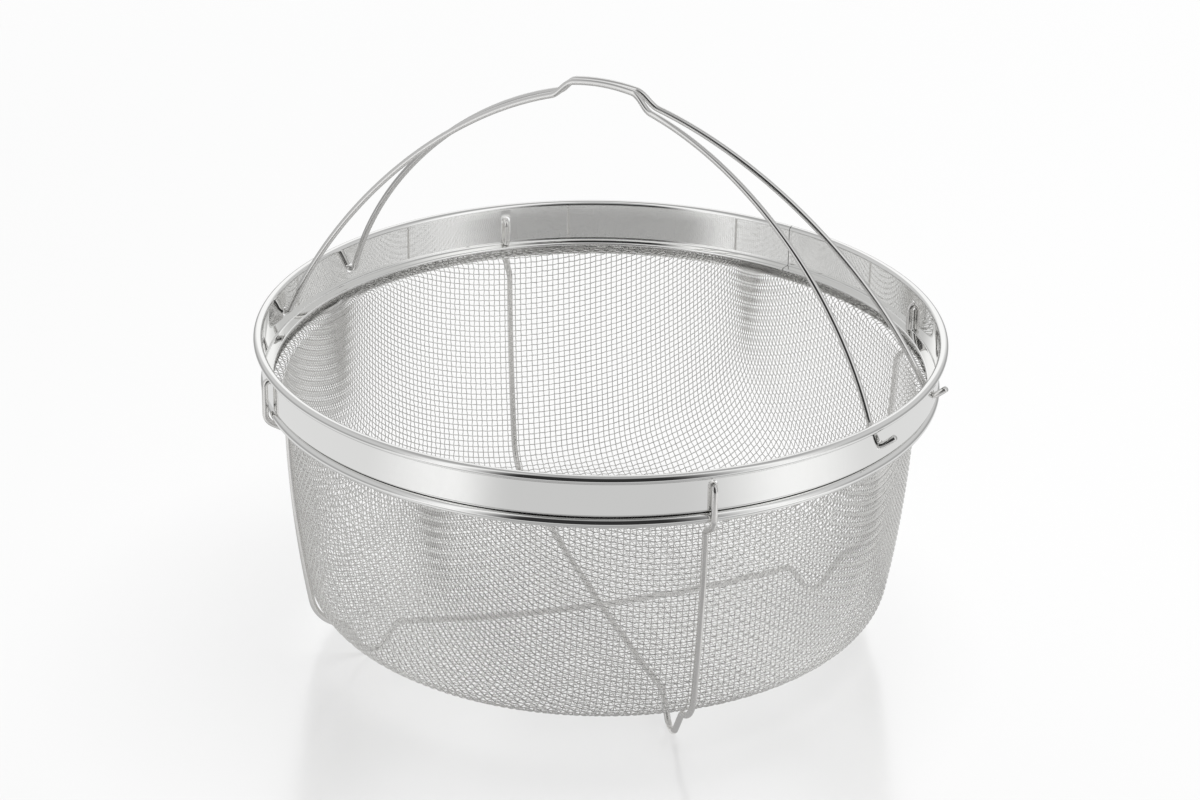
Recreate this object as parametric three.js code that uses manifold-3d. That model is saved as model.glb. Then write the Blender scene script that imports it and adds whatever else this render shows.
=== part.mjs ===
// A round draining basket: a rolled steel rim band, a pressed bowl of woven wire,
// two bent wires that make four feet, and two wire bails that swing from the band.
// Millimetres, +Z up. The origin is on the table under the middle, and X runs along the bails.
import * as THREE from "three";
import { mergeVertices } from "three/addons/utils/BufferGeometryUtils.js";
import Module from "manifold-3d";

const wasm = await Module();
wasm.setup();

// Stock and fits
const SHEET = 0.4; // thickness of the rim strip
const MESH = 1.0; // thickness of the woven cloth
const FOOT_WIRE = 2.0; // diameter of the foot wires
const BAIL_WIRE = 2.0; // diameter of the bail wires
const CLEARANCE = 0.3; // gap between pieces that lie on each other
const HOLE_CLEARANCE = 0.55; // gap round a wire in its hole in the band

// Rim band: bead, flat band, fold and the channel that holds the cloth
const RIM_RADIUS = 111; // to the outside of the bead
const BEAD_DIAMETER = 2.9;
const BEAD_WRAP = 285; // degrees that the strip is curled through
const BAND_HEIGHT = 12.85; // from the fold to the middle of the bead
const FOLD_FILLET = 0.8; // bend from the band into the fold
const FOLD_GAP = 0.3; // between the two leaves of the fold
const FOLD_WIDTH = 1.95; // how far the fold reaches in from the channel
const CHANNEL_PROUD = 0.5; // how far the channel stands out past the band
const LIP_WIDTH = 2.1; // lower lip of the channel
const SEAM_GAP = 0.5; // where the ends of the strip meet
const SEAM_ANGLE = 80.6; // degrees round from +X

// Mesh bowl, measured on its outer face
const BOWL_DEPTH = 74.8; // from its rounded lower edge to the top of the wall
const FOOT_HEIGHT = 13.2; // from the table to that lower edge
const FLANGE_WIDTH = 5.3; // from the wall to the edge held in the channel
const SHOULDER_RADIUS = 1.45; // bend from wall to flange
const WALL_LEAN = 1.2; // degrees at the top of the wall
const WALL_BOW_RADIUS = 420; // the wall's outward curve
const CORNER_RADIUS = 11.4;
const FLOOR_SLOPE = 5; // degrees at the edge of the sagging floor

// Openings of the bowl: a plain grid in place of the fine weave
const GRID_COLUMNS = 24; // openings round the wall, three for each one next to the hub
const GRID_WALL_ROWS = 4;
const GRID_FLOOR_ROWS = 4;
const GRID_RIB = 6; // upright bars, at the top of the wall
const GRID_BAR = 3; // bars that run round
const GRID_HUB = 9; // radius of the closed middle of the floor

// Foot wires, each a bent wire in one upright plane
const FOOT_ANGLE = 45; // degrees from X
const FOOT_HOLE_DROP = 4.0; // from the middle of the bead to the hole
const HOOK_END_GAP = 0.5; // from the hook's end to the fold below it
const JOG_RADIUS = 4.5; // bend under the channel
const JOG_ANGLE = 60;
const WALL_BEND_RADIUS = 3; // bend from the jog on to the wall
const CORNER_TURN = 75; // degrees round the bowl's corner before the foot leaves it
const FOOT_BEND_RADIUS = 3; // bends at the top of the foot
const FOOT_SLOPE_ANGLE = 57; // of the foot's two sides
const FOOT_TIP_RADIUS = 4.5;
const FOOT_TIP_STEPS = 5; // an odd count, so that a facet lies flat on the table

// Bails, drawn flat: along the hinge line and up from it
const BAIL_OFFSET = 21; // from the basket's middle to the hinge line
const BAIL_HOLE_DROP = 7.5; // from the middle of the bead to the hinge line
const BAIL_HEIGHT = 93.45; // from the hinge line to the middle of the grip
const GRIP_HALF = 10.2; // half the length of the raised grip
const GRIP_CROWN_RADIUS = 60;
const STEP_RUN = 7.3; // the step beside the grip
const STEP_DROP = 5.45;
const STEP_EASE = 3;
const SIDE_HIGH_SLOPE = 17.8; // degrees, where the side leaves the step
const SIDE_HIGH_PULL = 38.6; // curve handles of the side
const SIDE_LOW_PULL = 41.6;
const HOOK_RUN = 0.3; // straight run to each side of the band
const HOOK_RADIUS = 2.0;
const HOOK_RISE = 70; // degrees, inside the band
const STUB_RISE = 42; // degrees, outside the band
const STUB_LENGTH = 4.2;

// Facets
const RING_SEGMENTS = 64;
const WIRE_SIDES = 8;
const HOLE_SIDES = 16;

const { degToRad, radToDeg } = THREE.MathUtils;
const sinDeg = (angle) => Math.sin(degToRad(angle));
const cosDeg = (angle) => Math.cos(degToRad(angle));
const tanDeg = (angle) => Math.tan(degToRad(angle));
const point = (x, y) => new THREE.Vector2(x, y);

// Heights and radii that the pieces share
const wallTop = FOOT_HEIGHT + BOWL_DEPTH;
const flangeLow = wallTop + SHOULDER_RADIUS * (1 - sinDeg(WALL_LEAN));
const flangeHigh = flangeLow + 2 * MESH; // the edge of the cloth is folded double
const lipZ = flangeLow - CLEARANCE - SHEET / 2;
const leafZ = flangeHigh + CLEARANCE + SHEET / 2;
const channelBend = (leafZ - lipZ) / 2;
const channelZ = (leafZ + lipZ) / 2;
const foldBend = (FOLD_GAP + SHEET) / 2;
const foldTop = leafZ + 2 * foldBend;
const beadZ = foldTop + BAND_HEIGHT;
const beadRadius = RIM_RADIUS - BEAD_DIAMETER / 2;
const bandRadius = RIM_RADIUS - BEAD_DIAMETER + SHEET / 2;
const channelRadius = bandRadius + CHANNEL_PROUD - channelBend;
const footHoleZ = beadZ - FOOT_HOLE_DROP;
const hingeZ = beadZ - BAIL_HOLE_DROP;
const hingeHalf = Math.sqrt(bandRadius ** 2 - BAIL_OFFSET ** 2);

// Circles that the bowl's outer face follows
const wallRadius = channelRadius - FLANGE_WIDTH;
const wallCentre = point(
  wallRadius - WALL_BOW_RADIUS * cosDeg(WALL_LEAN),
  wallTop + WALL_BOW_RADIUS * sinDeg(WALL_LEAN),
);
const cornerZ = FOOT_HEIGHT + CORNER_RADIUS * cosDeg(FLOOR_SLOPE);
const cornerReach = WALL_BOW_RADIUS - CORNER_RADIUS;
const cornerAngle = radToDeg(Math.asin((cornerZ - wallCentre.y) / cornerReach));
const cornerCentre = point(wallCentre.x + cornerReach * cosDeg(cornerAngle), cornerZ);
const floorAngle = FLOOR_SLOPE - 90;
const floorEdge = cornerCentre.x + CORNER_RADIUS * sinDeg(FLOOR_SLOPE);
const floorBow = floorEdge / sinDeg(FLOOR_SLOPE);
const floorCentreZ = FOOT_HEIGHT + floorBow * cosDeg(FLOOR_SLOPE);

// Angles from one to another in even steps, both ends included
function arcAngles(from, to, steps) {
  return Array.from({ length: steps + 1 }, (_, i) => from + ((to - from) * i) / steps);
}

// Points on an arc between two angles in degrees
function arc(x, y, radius, from, to, steps) {
  return arcAngles(from, to, steps).map((angle) =>
    point(x + radius * cosDeg(angle), y + radius * sinDeg(angle)),
  );
}

function toSolid(geometry) {
  geometry.deleteAttribute("normal");
  geometry.deleteAttribute("uv");
  const merged = mergeVertices(geometry, 1e-4);
  const vertProperties = merged.attributes.position.array;
  const triVerts = new Uint32Array(merged.index.array);
  return new wasm.Manifold(new wasm.Mesh({ numProp: 3, vertProperties, triVerts }));
}

function toGeometry(solid) {
  const mesh = solid.getMesh();
  const geometry = new THREE.BufferGeometry();
  geometry.setAttribute("position", new THREE.BufferAttribute(mesh.vertProperties, 3));
  geometry.setIndex(new THREE.BufferAttribute(mesh.triVerts, 1));
  geometry.computeVertexNormals();
  return geometry;
}

// A profile of radius and height turned round the Z axis
function turned(profile) {
  return new THREE.LatheGeometry(profile, RING_SEGMENTS).rotateX(Math.PI / 2);
}

// The closed outline of a strip of even thickness along a path
function stripOutline(path, thickness) {
  const sides = [1, -1].map((side) =>
    path.map((here, i) => {
      const before = path[i - 1] ? here.clone().sub(path[i - 1]).normalize() : null;
      const after = path[i + 1] ? path[i + 1].clone().sub(here).normalize() : null;
      const along = (before ?? after).clone().add(after ?? before).normalize();
      const widen = 1 / along.dot(before ?? after);
      const offset = (side * widen * thickness) / 2;
      return point(here.x - along.y * offset, here.y + along.x * offset);
    }),
  );
  return [...sides[0], ...sides[1].reverse(), sides[0][0].clone()];
}

// A bent wire's centre line. Its stations follow the bends, so a bend takes more rings than a straight run.
class BentLine extends THREE.Curve {
  constructor(stations) {
    super();
    this.stations = stations;
  }

  getPointAt(share, target = new THREE.Vector3()) {
    return target.copy(this.stations[Math.round(share * (this.stations.length - 1))]);
  }

  getTangentAt(share, target = new THREE.Vector3()) {
    const i = Math.round(share * (this.stations.length - 1));
    const here = this.stations[i];
    target.set(0, 0, 0);
    if (i > 0) target.add(here.clone().sub(this.stations[i - 1]).normalize());
    if (i < this.stations.length - 1) target.add(this.stations[i + 1].clone().sub(here).normalize());
    return target.normalize();
  }
}

// A round wire along flat points, stood up in the XZ plane
function wire(path, diameter) {
  const corner = diameter / 2 / cosDeg(180 / WIRE_SIDES);
  const half = 180 / WIRE_SIDES;
  const section = new THREE.Shape(arc(0, 0, corner, half, 360 - half, WIRE_SIDES - 1));
  const line = new BentLine(path.map(({ x, y }) => new THREE.Vector3(x, 0, y)));
  return new THREE.ExtrudeGeometry(section, { steps: path.length - 1, extrudePath: line });
}

// Half a wire and its mirror image, joined in the middle
function mirrored(half) {
  const other = half.slice(0, -1).map(({ x, y }) => point(-x, y));
  return [...half, ...other.reverse()];
}

// The strip from the end of its curl, down the band and round the channel
function rimPath() {
  const curl = BEAD_DIAMETER / 2 - SHEET / 2;
  return [
    ...arc(beadRadius, beadZ, curl, 180 - BEAD_WRAP, 180, 9),
    ...arc(bandRadius - FOLD_FILLET, foldTop + FOLD_FILLET, FOLD_FILLET, 0, -90, 2),
    ...arc(channelRadius - FOLD_WIDTH, leafZ + foldBend, foldBend, 90, 270, 4),
    ...arc(channelRadius, channelZ, channelBend, 90, -90, 6),
    point(channelRadius - LIP_WIDTH, lipZ),
  ];
}

// A round cutter along X, for a wire's hole
function drill(wireDiameter) {
  const radius = wireDiameter / 2 + HOLE_CLEARANCE;
  return new THREE.CylinderGeometry(radius, radius, RIM_RADIUS, HOLE_SIDES).rotateZ(Math.PI / 2);
}

function rimBand() {
  const outline = stripOutline(rimPath(), SHEET).reverse();
  let solid = toSolid(turned(outline));
  for (const angle of [FOOT_ANGLE, 180 - FOOT_ANGLE, 180 + FOOT_ANGLE, -FOOT_ANGLE]) {
    const hole = drill(FOOT_WIRE).translate(bandRadius, 0, footHoleZ);
    solid = solid.subtract(toSolid(hole.rotateZ(degToRad(angle))));
  }
  for (const x of [-hingeHalf, hingeHalf]) {
    for (const y of [-BAIL_OFFSET, BAIL_OFFSET]) {
      solid = solid.subtract(toSolid(drill(BAIL_WIRE).translate(x, y, hingeZ)));
    }
  }
  const slit = new THREE.BoxGeometry(RIM_RADIUS, SEAM_GAP, 2 * beadZ).translate(bandRadius, 0, beadZ);
  return toGeometry(solid.subtract(toSolid(slit.rotateZ(degToRad(SEAM_ANGLE)))));
}

// The wire that the bead is curled round
function coreWire() {
  const radius = BEAD_DIAMETER / 2 - SHEET - CLEARANCE;
  return new THREE.TorusGeometry(beadRadius, radius, WIRE_SIDES, RING_SEGMENTS).translate(0, 0, beadZ);
}

// Starts and ends of openings in a row, with bars between them
function openStretches(from, to, rows, bar) {
  const opening = (to - from - (rows - 1) * bar) / rows;
  return Array.from({ length: rows }, (_, i) => {
    const start = from + i * (opening + bar);
    return [start, start + opening];
  });
}

// Stations on the bowl from the middle of its floor to the flange. Each lies on a circle, whose radius
// shrinks or grows towards the inner face, and says how many columns share an opening up to the next one.
function bowlStations() {
  const shoulder = point(
    wallRadius + SHOULDER_RADIUS * cosDeg(WALL_LEAN),
    wallTop - SHOULDER_RADIUS * sinDeg(WALL_LEAN),
  );
  const floor = { centre: point(0, floorCentreZ), radius: floorBow, inward: -1 };
  const corner = { centre: cornerCentre, radius: CORNER_RADIUS, inward: -1 };
  const wall = { centre: wallCentre, radius: WALL_BOW_RADIUS, inward: -1 };
  const bend = { centre: shoulder, radius: SHOULDER_RADIUS, inward: 1 };

  const onFloor = (reach) => radToDeg(Math.asin(reach / floorBow)) - 90;
  const floorRows = openStretches(GRID_HUB, floorEdge - GRID_BAR / 2, GRID_FLOOR_ROWS, GRID_BAR);
  const cornerBar = radToDeg(GRID_BAR / 2 / CORNER_RADIUS);
  const cornerSteps = arcAngles(floorAngle + cornerBar, cornerAngle - cornerBar, 3);
  const wallBar = radToDeg(GRID_BAR / WALL_BOW_RADIUS);
  const wallRows = openStretches(cornerAngle + wallBar / 2, -WALL_LEAN - wallBar, GRID_WALL_ROWS, wallBar);

  return [
    { ...floor, angle: -90, share: 0 },
    ...floorRows.flatMap(([start, end], i) => [
      { ...floor, angle: onFloor(start), share: i === 0 ? 3 : 1 },
      { ...floor, angle: onFloor(end), share: 0 },
    ]),
    { ...corner, angle: floorAngle, share: 0 },
    ...cornerSteps.map((angle, i) => ({ ...corner, angle, share: i < cornerSteps.length - 1 ? 1 : 0 })),
    { ...wall, angle: cornerAngle, share: 0 },
    ...wallRows.flatMap(([start, end]) => [
      { ...wall, angle: start, share: 1 },
      { ...wall, angle: end, share: 0 },
    ]),
    ...arcAngles(180 - WALL_LEAN, 90, 3).map((angle) => ({ ...bend, angle, share: 0 })),
  ];
}

// One face of the bowl, set in from the outer face
function bowlFace(stations, inset) {
  const face = stations.map(({ centre, radius, inward, angle }) => {
    const reach = radius + inward * inset;
    return point(centre.x + reach * cosDeg(angle), centre.y + reach * sinDeg(angle));
  });
  face[0].x = 0; // exactly on the axis
  return face;
}

// A shell between two faces turned round the Z axis, with openings through it where isOpen says so
function openShell(outer, inner, turns, isOpen) {
  const rings = outer.length;
  const columns = turns.length;
  const positions = [outer, inner].flatMap((face) =>
    face.flatMap(({ x, y }) => turns.flatMap((turn) => [x * cosDeg(turn), x * sinDeg(turn), y])),
  );
  const at = (side, ring, column) => (side * rings + ring) * columns + (column % columns);
  const index = [];
  const quad = (a, b, c, d) => index.push(a, b, c, a, c, d);
  const shut = (ring, column) => ring < rings - 1 && !isOpen(ring, column % columns);
  for (let ring = 0; ring < rings - 1; ring++) {
    for (let column = 0; column < columns; column++) {
      const here = shut(ring, column);
      const [a, b, c, d] = [[0, 0], [0, 1], [1, 1], [1, 0]].map(([up, round]) =>
        [0, 1].map((side) => at(side, ring + up, column + round)),
      );
      if (here && ring === 0) index.push(a[0], c[0], d[0], a[1], d[1], c[1]);
      if (here && ring > 0) {
        quad(a[0], b[0], c[0], d[0]);
        quad(a[1], d[1], c[1], b[1]);
      }
      // The sides of an opening stand where an open stretch meets a closed one.
      if (here && !shut(ring + 1, column)) quad(d[0], c[0], c[1], d[1]);
      if (!here && shut(ring + 1, column)) quad(c[0], d[0], d[1], c[1]);
      if (here && !shut(ring, column + 1)) quad(c[0], b[0], b[1], c[1]);
      if (!here && shut(ring, column + 1)) quad(b[0], c[0], c[1], b[1]);
    }
  }
  const geometry = new THREE.BufferGeometry();
  geometry.setAttribute("position", new THREE.Float32BufferAttribute(positions, 3));
  geometry.setIndex(index);
  const shell = mergeVertices(geometry, 1e-4);
  shell.computeVertexNormals();
  return shell;
}

function meshBowl() {
  const stations = bowlStations();
  const outer = bowlFace(stations, 0);
  const inner = bowlFace(stations, MESH);
  inner.at(-1).y = flangeHigh;
  outer.push(point(channelRadius, flangeLow));
  inner.push(point(channelRadius, flangeHigh));

  // Each column has a rib, then an opening in two facets.
  const pitch = 360 / GRID_COLUMNS;
  const rib = radToDeg(2 * Math.asin(GRID_RIB / 2 / wallRadius));
  const turns = Array.from({ length: GRID_COLUMNS }, (_, i) => i * pitch).flatMap((turn) => [
    turn - rib / 2,
    turn + rib / 2,
    turn + pitch / 2,
  ]);
  const isOpen = (ring, facet) => {
    const share = stations[ring]?.share;
    return share > 0 && (facet % 3 > 0 || Math.floor(facet / 3) % share > 0);
  };
  return openShell(outer, inner, turns, isOpen);
}

// Half of a foot wire, from its hook inside the band to the middle of the floor, as radius and height
function footHalf(dip) {
  const off = CLEARANCE + FOOT_WIRE / 2;
  const inside = bandRadius - SHEET / 2 - off;
  const outside = channelRadius + channelBend + SHEET / 2 + off;
  const turn = (outside - inside) / 2;
  const hookEnd = foldTop + SHEET / 2 + HOOK_END_GAP;

  const jog = arc(outside - JOG_RADIUS, channelZ, JOG_RADIUS, 0, -JOG_ANGLE, 3);
  const jogNormal = point(cosDeg(JOG_ANGLE), -sinDeg(JOG_ANGLE));
  const wallReach = WALL_BOW_RADIUS + off + WALL_BEND_RADIUS;
  const jogDepth = WALL_BEND_RADIUS + jog.at(-1).clone().sub(wallCentre).dot(jogNormal);
  const wallAngle = radToDeg(Math.acos(jogDepth / wallReach)) - JOG_ANGLE;
  const wallBend = point(wallReach * cosDeg(wallAngle), wallReach * sinDeg(wallAngle)).add(wallCentre);

  const corner = arc(cornerCentre.x, cornerCentre.y, CORNER_RADIUS + off, cornerAngle, -CORNER_TURN, 4);
  const kneeNormal = point(cosDeg(CORNER_TURN), -sinDeg(CORNER_TURN));
  const kneeCentre = corner.at(-1).clone().addScaledVector(kneeNormal, FOOT_BEND_RADIUS);
  const rise = 90 + FOOT_SLOPE_ANGLE;
  const knee = arc(kneeCentre.x, kneeCentre.y, FOOT_BEND_RADIUS, 180 - CORNER_TURN, rise, 2);

  const tipZ = (FOOT_TIP_RADIUS + FOOT_WIRE / 2) * cosDeg(FOOT_SLOPE_ANGLE / FOOT_TIP_STEPS);
  const tipHalf = FOOT_TIP_RADIUS * sinDeg(FOOT_SLOPE_ANGLE);
  const sideLow = tipZ - FOOT_TIP_RADIUS * cosDeg(FOOT_SLOPE_ANGLE);
  const tipRadius = knee.at(-1).x - (knee.at(-1).y - sideLow) / tanDeg(FOOT_SLOPE_ANGLE) - tipHalf;
  const sideEnd = point(tipRadius - tipHalf, sideLow);

  // The floor run is an arc that lies under the cloth, or dips below the other wire in the middle.
  const nearZ = floorCentreZ - Math.sqrt((floorBow + off) ** 2 - sideEnd.x ** 2);
  const lowZ = floorCentreZ - floorBow - off - dip;
  const sag = nearZ - lowZ;
  const runRadius = (sideEnd.x ** 2 + sag ** 2) / (2 * sag);
  const runReach = runRadius + FOOT_BEND_RADIUS;
  const sideNormal = point(-sinDeg(FOOT_SLOPE_ANGLE), -cosDeg(FOOT_SLOPE_ANGLE));
  const sideDepth = FOOT_BEND_RADIUS + sideEnd.clone().sub(point(0, lowZ + runRadius)).dot(sideNormal);
  const runAngle = radToDeg(Math.acos(sideDepth / runReach)) - 90 - FOOT_SLOPE_ANGLE;
  const runBend = point(runReach * cosDeg(runAngle), lowZ + runRadius + runReach * sinDeg(runAngle));

  return [
    point(inside, hookEnd),
    ...arc(inside + turn, footHoleZ - turn, turn, 180, 0, 6),
    ...jog,
    ...arc(wallBend.x, wallBend.y, WALL_BEND_RADIUS, 180 - JOG_ANGLE, 180 + wallAngle, 3),
    ...arc(wallCentre.x, wallCentre.y, WALL_BOW_RADIUS + off, wallAngle, cornerAngle, 4).slice(1, -1),
    ...corner,
    ...knee.slice(1),
    ...arc(tipRadius, tipZ, FOOT_TIP_RADIUS, FOOT_SLOPE_ANGLE - 90, -rise, FOOT_TIP_STEPS),
    ...arc(runBend.x, runBend.y, FOOT_BEND_RADIUS, 90 - FOOT_SLOPE_ANGLE, 180 + runAngle, 3),
    ...arc(0, lowZ + runRadius, runRadius, runAngle, -90, 3).slice(1),
  ];
}

function footWire(dip) {
  return wire(mirrored(footHalf(dip)), FOOT_WIRE);
}

// Half of a bail, from its stub outside the band to the middle of its grip
function bailHalf() {
  const stub = arc(hingeHalf + HOOK_RUN, HOOK_RADIUS, HOOK_RADIUS, STUB_RISE - 90, -90, 3);
  const stubEnd = point(cosDeg(STUB_RISE), sinDeg(STUB_RISE)).multiplyScalar(STUB_LENGTH).add(stub[0]);
  const hook = arc(hingeHalf - HOOK_RUN, HOOK_RADIUS, HOOK_RADIUS, -90, -90 - HOOK_RISE, 4);
  const sideLow = hook.at(-1);
  const crownDrop = GRIP_CROWN_RADIUS - Math.sqrt(GRIP_CROWN_RADIUS ** 2 - GRIP_HALF ** 2);
  const crownSlope = radToDeg(Math.asin(GRIP_HALF / GRIP_CROWN_RADIUS));
  const gripEnd = point(GRIP_HALF, BAIL_HEIGHT - crownDrop);
  const sideHigh = point(GRIP_HALF + STEP_RUN, gripEnd.y - STEP_DROP);
  const sideOut = point(cosDeg(SIDE_HIGH_SLOPE), -sinDeg(SIDE_HIGH_SLOPE));
  const side = new THREE.CubicBezierCurve(
    sideLow,
    point(-cosDeg(HOOK_RISE), sinDeg(HOOK_RISE)).multiplyScalar(SIDE_LOW_PULL).add(sideLow),
    sideHigh.clone().addScaledVector(sideOut, SIDE_HIGH_PULL),
    sideHigh,
  );
  const step = new THREE.CubicBezierCurve(
    sideHigh,
    sideHigh.clone().addScaledVector(sideOut, -STEP_EASE),
    point(cosDeg(crownSlope), -sinDeg(crownSlope)).multiplyScalar(STEP_EASE).add(gripEnd),
    gripEnd,
  );
  const crownZ = BAIL_HEIGHT - GRIP_CROWN_RADIUS;
  return [
    stubEnd,
    ...stub,
    ...hook,
    ...side.getPoints(10).slice(1),
    ...step.getPoints(5).slice(1),
    ...arc(0, crownZ, GRIP_CROWN_RADIUS, 90 - crownSlope, 90, 2).slice(1),
  ];
}

const steel = (roughness) => new THREE.MeshStandardMaterial({ color: 0xc8c7c4, metalness: 1, roughness });

const basket = new THREE.Group();

function addPiece(parent, name, geometry, roughness) {
  const mesh = new THREE.Mesh(geometry, steel(roughness));
  mesh.name = name;
  parent.add(mesh);
  return mesh;
}

addPiece(basket, "rim_band", rimBand(), 0.12);
addPiece(basket, "rim_core_wire", coreWire(), 0.3);
addPiece(basket, "mesh_bowl", meshBowl(), 0.35);

const crossingDip = FOOT_WIRE + CLEARANCE;
addPiece(basket, "foot_wire_upper", footWire(0), 0.22).rotation.z = degToRad(-FOOT_ANGLE);
addPiece(basket, "foot_wire_lower", footWire(crossingDip), 0.22).rotation.z = degToRad(FOOT_ANGLE);

// The bails lean in until their grips lie side by side.
const lean = Math.asin((BAIL_OFFSET - BAIL_WIRE / 2 - CLEARANCE / 2) / BAIL_HEIGHT);
for (const [name, side] of [["bail_front", -1], ["bail_rear", 1]]) {
  const hinge = new THREE.Group();
  hinge.position.set(0, side * BAIL_OFFSET, hingeZ);
  hinge.rotation.x = side * lean;
  addPiece(hinge, name, wire(mirrored(bailHalf()), BAIL_WIRE), 0.22);
  basket.add(hinge);
}

export default basket;
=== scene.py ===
from math import acos, asin, atan2, cos, hypot, pi, radians, sin, sqrt, tan
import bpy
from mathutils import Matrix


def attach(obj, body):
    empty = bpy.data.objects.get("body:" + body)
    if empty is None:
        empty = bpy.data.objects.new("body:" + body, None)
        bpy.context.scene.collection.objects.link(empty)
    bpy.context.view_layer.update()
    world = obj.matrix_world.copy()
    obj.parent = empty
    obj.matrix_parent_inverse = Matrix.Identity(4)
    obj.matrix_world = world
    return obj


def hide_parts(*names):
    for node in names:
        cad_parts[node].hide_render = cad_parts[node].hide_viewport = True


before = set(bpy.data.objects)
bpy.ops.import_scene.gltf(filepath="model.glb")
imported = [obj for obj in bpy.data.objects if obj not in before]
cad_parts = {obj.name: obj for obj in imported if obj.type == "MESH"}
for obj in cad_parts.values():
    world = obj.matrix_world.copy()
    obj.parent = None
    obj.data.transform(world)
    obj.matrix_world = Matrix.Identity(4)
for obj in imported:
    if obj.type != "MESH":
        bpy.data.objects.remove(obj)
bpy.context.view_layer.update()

from types import SimpleNamespace

import bpy
import numpy as np
from bpy.props import FloatProperty, FloatVectorProperty, IntProperty, PointerProperty
from bpy.types import Operator, Panel, PropertyGroup
from mathutils import Matrix, Vector

bl_info = {
    "name": "Draining Basket",
    "version": (1, 0, 0),
    "blender": (4, 5, 0),
    "location": "View3D > Sidebar > Basket",
    "description": "A round steel draining basket of woven wire, with bent wire feet and two bails",
    "category": "Add Mesh",
}

WHITE = (1.0, 1.0, 1.0, 1.0)

# Fineness of the meshes
BAND_SEGMENTS = 384
CORE_SEGMENTS = 256
WIRE_SIDES = 20
HOLE_SIDES = 40
CLOTH_PIECES = 5
SHARP_STRIP = radians(35)
SHARP_WIRE = radians(50)

# Share of a wire's radius that its ends are chamfered by
END_CHAMFER = 0.3

# Depth of the fine marks on the steel, in metres
MARK_DEPTH = 0.00005

# Numbers of the colour sockets on a mix node
MIX_FIRST, MIX_SECOND, MIX_RESULT = 6, 7, 2

# Degrees from the middle of a card to where its side tone begins, and over which it takes over
WING_START, WING_FADE = 18, 16

# Half the floor's width, and where the lamp stands and points in the camera's turn, in metres
FLOOR_HALF = 3.0
LAMP_PLACE = (0.45, 0.2, 1.9)
LAMP_AIM = (0.0, 0.0, 0.05)


def size(name, millimetres, words):
    return FloatProperty(
        name=name, description=words, default=millimetres / 1000, min=0.0, unit="LENGTH", precision=5
    )


def angle(name, degrees, words):
    return FloatProperty(
        name=name, description=words, default=radians(degrees), unit="ROTATION", subtype="ANGLE"
    )


def share(name, value, words):
    return FloatProperty(name=name, description=words, default=value, min=0.0, max=1.0, subtype="FACTOR")


def level(name, value, words, unit="NONE"):
    return FloatProperty(name=name, description=words, default=value, min=0.0, unit=unit)


def colour(name, value, words):
    return FloatVectorProperty(
        name=name, description=words, default=value, size=3, min=0.0, max=1.0, subtype="COLOR"
    )


class BandSizes(PropertyGroup):
    """Sizes of the rolled rim band"""

    sheet: size("Sheet", 0.4, "Thickness of the rim strip")
    rim_radius: size("Rim radius", 111, "From the axis to the outside of the bead")
    bead: size("Bead", 2.9, "Diameter of the curled bead")
    bead_wrap: angle("Bead wrap", 285, "How far round the strip is curled")
    band_height: size("Band height", 12.85, "From the fold to the middle of the bead")
    fold_fillet: size("Fold fillet", 0.8, "Bend from the band into the fold")
    fold_gap: size("Fold gap", 0.3, "Between the two leaves of the fold")
    fold_width: size("Fold width", 1.95, "How far the fold reaches in from the channel")
    channel_proud: size("Channel proud", 0.5, "How far the channel stands out past the band")
    lip_width: size("Lip width", 2.1, "Lower lip of the channel")
    seam_gap: size("Seam gap", 0.05, "Where the ends of the strip meet")
    # A darker line along the seam, in colour only; the band's polish runs on across it
    seam_line: size("Seam line", 0.36, "Width of the dull line along the seam")
    seam_turn: angle("Seam", 80.6, "Where the seam is, round from +X")
    hole_clearance: size("Hole clearance", 0.55, "Gap round a wire in its punched hole")
    clearance: size("Clearance", 0.3, "Gap between pieces that lie on each other")


class BowlSizes(PropertyGroup):
    """Sizes of the pressed bowl of woven wire"""

    depth: size("Depth", 74.8, "From the rounded lower edge to the top of the wall")
    foot_height: size("Foot height", 13.2, "From the table to the lower edge of the bowl")
    flange_width: size("Flange width", 5.3, "From the wall to the edge held in the channel")
    shoulder: size("Shoulder", 1.45, "Bend from wall to flange")
    wall_lean: angle("Wall lean", 1.2, "Lean at the top of the wall")
    wall_bow: size("Wall bow", 420, "Radius of the wall's outward curve")
    corner: size("Corner", 11.4, "Radius between the wall and the floor")
    floor_slope: angle("Floor slope", 5, "Slope at the edge of the sagging floor")
    thickness: size("Cloth", 1.0, "Room that the pressed cloth takes up in the channel")
    hem: share("Hem", 0.9, "Share of the channel's lip that the folded hem covers")
    wire: size("Cloth wire", 0.34, "Diameter of the woven wire")
    pitch: size("Pitch", 1.92, "Distance between neighbouring wires")
    cloth_turn: angle("Cloth turn", 42.0, "Turn of the square weave from +X")
    give: share("Give", 0.13, "How far the cloth stretched, not sheared, on the bias")
    tube_sides: IntProperty(name="Wire sides", description="Sides of a woven wire", default=6, min=3)


class FootSizes(PropertyGroup):
    """Sizes of the two wires that make the feet"""

    wire: size("Wire", 2.0, "Diameter of the foot wires")
    turn: angle("Turn", 45, "Angle of each foot from X")
    hole_drop: size("Hole drop", 4.0, "From the middle of the bead to the hole")
    hook_end_gap: size("Hook end gap", 0.5, "From the hook's end to the fold below it")
    jog_radius: size("Jog radius", 4.5, "Bend under the channel")
    jog_turn: angle("Jog", 60, "Slant of the jog under the channel")
    wall_bend: size("Wall bend", 3, "Bend from the jog on to the wall")
    corner_turn: angle("Corner turn", 75, "How far the wire follows the bowl's corner")
    bend: size("Foot bend", 3, "Bends at the top of the foot")
    slope: angle("Foot slope", 57, "Slope of the foot's two sides")
    tip: size("Tip", 4.5, "Bend at the tip of the foot")


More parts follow.
